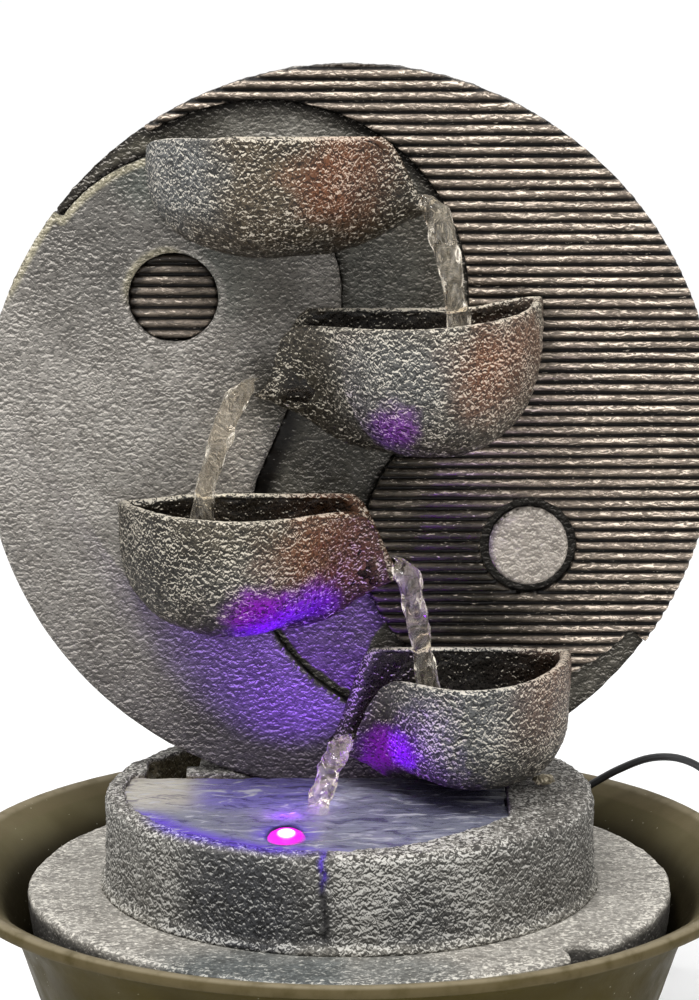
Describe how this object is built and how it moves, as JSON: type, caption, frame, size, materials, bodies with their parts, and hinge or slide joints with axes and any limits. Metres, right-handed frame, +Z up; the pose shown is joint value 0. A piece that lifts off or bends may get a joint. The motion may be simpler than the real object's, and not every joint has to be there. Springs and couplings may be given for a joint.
{
  "type": "tiered water fountain",
  "caption": "Tabletop water fountain: a round stone-resin disc in two swirled halves with pouring bowls, a lit pool drum and a slab, standing in a tapered plastic tub that holds the pump.",
  "frame": {"origin": "on the floor, under the centre of the tub", "axes": "+Z up, the bowls face -Y, +X to the right seen from the front"},
  "size_m": [0.4113, 0.4677, 0.526],
  "materials": {
    "tub": "dark olive-brown satin moulded plastic",
    "stone_smooth": "grey cast stone resin, fine hammered texture, light dry-brushing",
    "stone_ribbed": "cast stone resin with dark grooves and pale crests",
    "stone_bowl": "dark cast stone resin, dry-brushed hammered texture, rust tints",
    "stone_base": "warm grey cast stone resin",
    "pale_stone": "cream loose stone",
    "black_plastic": "black moulded plastic",
    "rubber": "black soft rubber",
    "cord": "black cord sheath",
    "clear_hose": "clear soft vinyl tube",
    "lens": "clear lens",
    "board": "white board",
    "chip": "lamp chip",
    "steel": "bright steel",
    "ceramic": "white ceramic pin",
    "magnet": "magnet-filled plastic",
    "potting": "potted coil block"
  },
  "bodies": {
    "base": {"tub": "tub", "pump_housing": "black_plastic", "pump_stator": "potting", "pump_back_cap": "black_plastic", "pump_foot_1": "rubber", "pump_foot_2": "rubber", "pump_foot_3": "rubber", "pump_foot_4": "rubber", "impeller_shaft": "ceramic", "pump_volute": "black_plastic", "lamp_socket": "black_plastic", "lamp_feed": "cord", "cable_gland": "rubber", "power_cord": "cord", "power_cord_coil": "cord", "power_cord_tail": "cord", "cord_tie": "black_plastic", "plug_body": "black_plastic", "plug_shell": "steel", "plug_tongue": "board"},
    "sculpture": {"base_slab": "stone_base", "pool_drum": "stone_base", "backdrop_shell": "stone_smooth", "smooth_panel": "stone_smooth", "ribbed_panel": "stone_ribbed", "stone_channel": "stone_smooth", "ribbed_dot": "stone_ribbed", "smooth_dot": "stone_smooth", "bowl_first": "stone_bowl", "bowl_second": "stone_bowl", "bowl_third": "stone_bowl", "bowl_fourth": "stone_bowl", "rear_cover": "black_plastic", "rear_cover_screw_1": "steel", "rear_cover_screw_2": "steel", "rear_cover_screw_3": "steel", "rear_cover_screw_4": "steel", "water_hose": "clear_hose", "outlet_elbow": "black_plastic", "hose_clip_1": "black_plastic", "hose_clip_2": "black_plastic", "lamp_housing": "black_plastic", "lamp_board": "board", "lamp_chip": "chip", "lamp_seal": "rubber", "lamp_lens": "lens", "lamp_lead": "cord", "lamp_plug": "black_plastic", "pebble_first": "pale_stone", "pebble_second": "pale_stone", "pebble_third": "pale_stone", "pebble_chip": "pale_stone"},
    "impeller": {"pump_impeller": "magnet"},
    "intake": {"intake_cover": "black_plastic"},
    "dial": {"flow_dial": "black_plastic"}
  },
  "joints": [
    {"name": "sculpture_lift", "type": "slide", "parent": "base", "child": "sculpture", "axis": [0, 0, 1], "range_m": [0, 0.11]},
    {"name": "impeller_spin", "type": "hinge", "parent": "base", "child": "impeller", "pos_m": [-0.045, 0.085, 0.034], "axis": [0, -1, 0], "continuous": true},
    {"name": "intake_slide", "type": "slide", "parent": "base", "child": "intake", "axis": [0, -1, 0], "range_m": [0, 0.02]},
    {"name": "dial_turn", "type": "hinge", "parent": "intake", "child": "dial", "pos_m": [-0.045, 0.0466, 0.034], "axis": [0, -1, 0], "range_deg": [-60, 60]}
  ]
}
